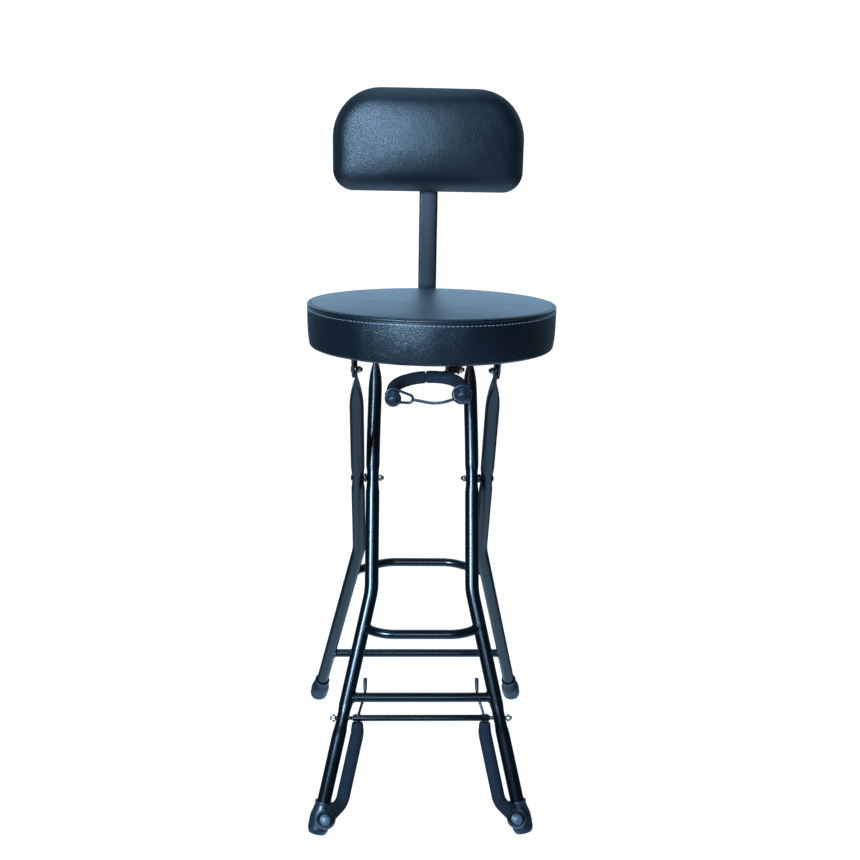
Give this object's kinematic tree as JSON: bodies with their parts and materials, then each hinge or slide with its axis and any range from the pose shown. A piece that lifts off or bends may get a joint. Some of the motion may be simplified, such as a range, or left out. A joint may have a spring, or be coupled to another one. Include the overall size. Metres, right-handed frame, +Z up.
{
  "type": "folding guitar stool",
  "caption": "Folding scissor-leg stool with a round padded seat, adjustable backrest, neck yoke and fold-out body cradle that hold a guitar.",
  "frame": {"origin": "on the floor, at the middle of the stool's footprint, under the front-to-back centre of its bounding box", "axes": "+Z up; -Y is the front, where the yoke and the cradle are; +X is the right as seen from the front"},
  "size_m": [0.3489, 0.438, 0.9679],
  "materials": {
    "frame_paint": "gloss black powder coat",
    "zinc": "bright zinc plate",
    "boot_rubber": "satin moulded black rubber",
    "foam_sleeve": "matte closed-cell black foam tube",
    "vinyl": "pebbled satin black vinyl",
    "padding": "upholstery foam",
    "plywood": "raw plywood",
    "knob_plastic": "matte black moulded plastic"
  },
  "bodies": {
    "rear_frame": {"rear_leg_left": "frame_paint", "rear_leg_right": "frame_paint", "rear_upper_crossbar": "frame_paint", "rear_lower_crossbar": "frame_paint", "rear_foot_left": "boot_rubber", "rear_foot_right": "boot_rubber", "pivot_bolt_left": "zinc", "pivot_bolt_right": "zinc", "pivot_nut_left": "zinc", "pivot_nut_right": "zinc", "pivot_spacer_left": "frame_paint", "pivot_spacer_right": "frame_paint"},
    "front_frame": {"front_leg_left": "frame_paint", "front_leg_right": "frame_paint", "footrest_bar": "frame_paint", "front_lower_crossbar": "frame_paint", "front_foot_left": "boot_rubber", "front_foot_right": "boot_rubber", "latch_pin_left": "zinc", "latch_pin_right": "zinc", "cradle_rod": "zinc", "cradle_nut_left": "zinc", "cradle_nut_right": "zinc"},
    "seat": {"seat_board": "plywood", "seat_foam": "padding", "seat_cover": "vinyl", "seat_piping": "vinyl", "hinge_ear_left": "frame_paint", "hinge_ear_right": "frame_paint", "latch_hook_left": "frame_paint", "latch_hook_right": "frame_paint", "hinge_bolt_left": "zinc", "hinge_bolt_right": "zinc", "hinge_nut_left": "zinc", "hinge_nut_right": "zinc", "post_sleeve": "frame_paint", "yoke_bracket": "frame_paint", "yoke_hinge_bolt": "zinc", "yoke_hinge_nut": "zinc"},
    "cradle": {"cradle_tube": "frame_paint", "cradle_arm_left": "frame_paint", "cradle_arm_right": "frame_paint", "cradle_foam_left": "foam_sleeve", "cradle_foam_right": "foam_sleeve", "cradle_end_left": "boot_rubber", "cradle_end_right": "boot_rubber"},
    "yoke": {"yoke_rod": "frame_paint", "yoke_foam_left": "foam_sleeve", "yoke_foam_right": "foam_sleeve", "yoke_end_left": "boot_rubber", "yoke_end_right": "boot_rubber", "yoke_strap": "boot_rubber"},
    "depth_knob": {"depth_knob": "knob_plastic"},
    "backrest": {"backrest_post": "frame_paint", "post_plug": "knob_plastic"},
    "pad": {"pad_sleeve": "frame_paint", "pad_board": "plywood", "pad_foam": "padding", "pad_cover": "vinyl"},
    "height_knob": {"height_knob": "knob_plastic"}
  },
  "joints": [
    {"name": "leg_fold", "type": "hinge", "parent": "rear_frame", "child": "front_frame", "pos_m": [0, -0.007, 0.44], "axis": [1, 0, 0], "range_deg": [0, 40]},
    {"name": "seat_tilt", "type": "hinge", "parent": "rear_frame", "child": "seat", "pos_m": [0, -0.07428, 0.60652], "axis": [1, 0, 0], "range_deg": [0, 112]},
    {"name": "cradle_fold", "type": "hinge", "parent": "front_frame", "child": "cradle", "pos_m": [0, -0.12871, 0.13876], "axis": [-1, 0, 0], "range_deg": [0, 110]},
    {"name": "yoke_fold", "type": "hinge", "parent": "seat", "child": "yoke", "pos_m": [0.0345, -0.097, 0.612], "axis": [1, 0, 0], "range_deg": [0, 100]},
    {"name": "depth_knob_turn", "type": "hinge", "parent": "seat", "child": "depth_knob", "pos_m": [0.0085, 0.091, 0.593], "axis": [0, 0, 1], "continuous": true},
    {"name": "backrest_depth", "type": "slide", "parent": "seat", "child": "backrest", "axis": [0, 1, 0], "range_m": [-0.008, 0.035]},
    {"name": "backrest_height", "type": "slide", "parent": "backrest", "child": "pad", "axis": [0, 0, 1], "range_m": [-0.05, 0.02]},
    {"name": "height_knob_turn", "type": "hinge", "parent": "pad", "child": "height_knob", "pos_m": [0.0085, 0.21, 0.8833], "axis": [0, 1, 0], "continuous": true}
  ],
  "couplings": [
    {"joint": "seat_tilt", "follows": "leg_fold", "ratio": 2.8}
  ]
}
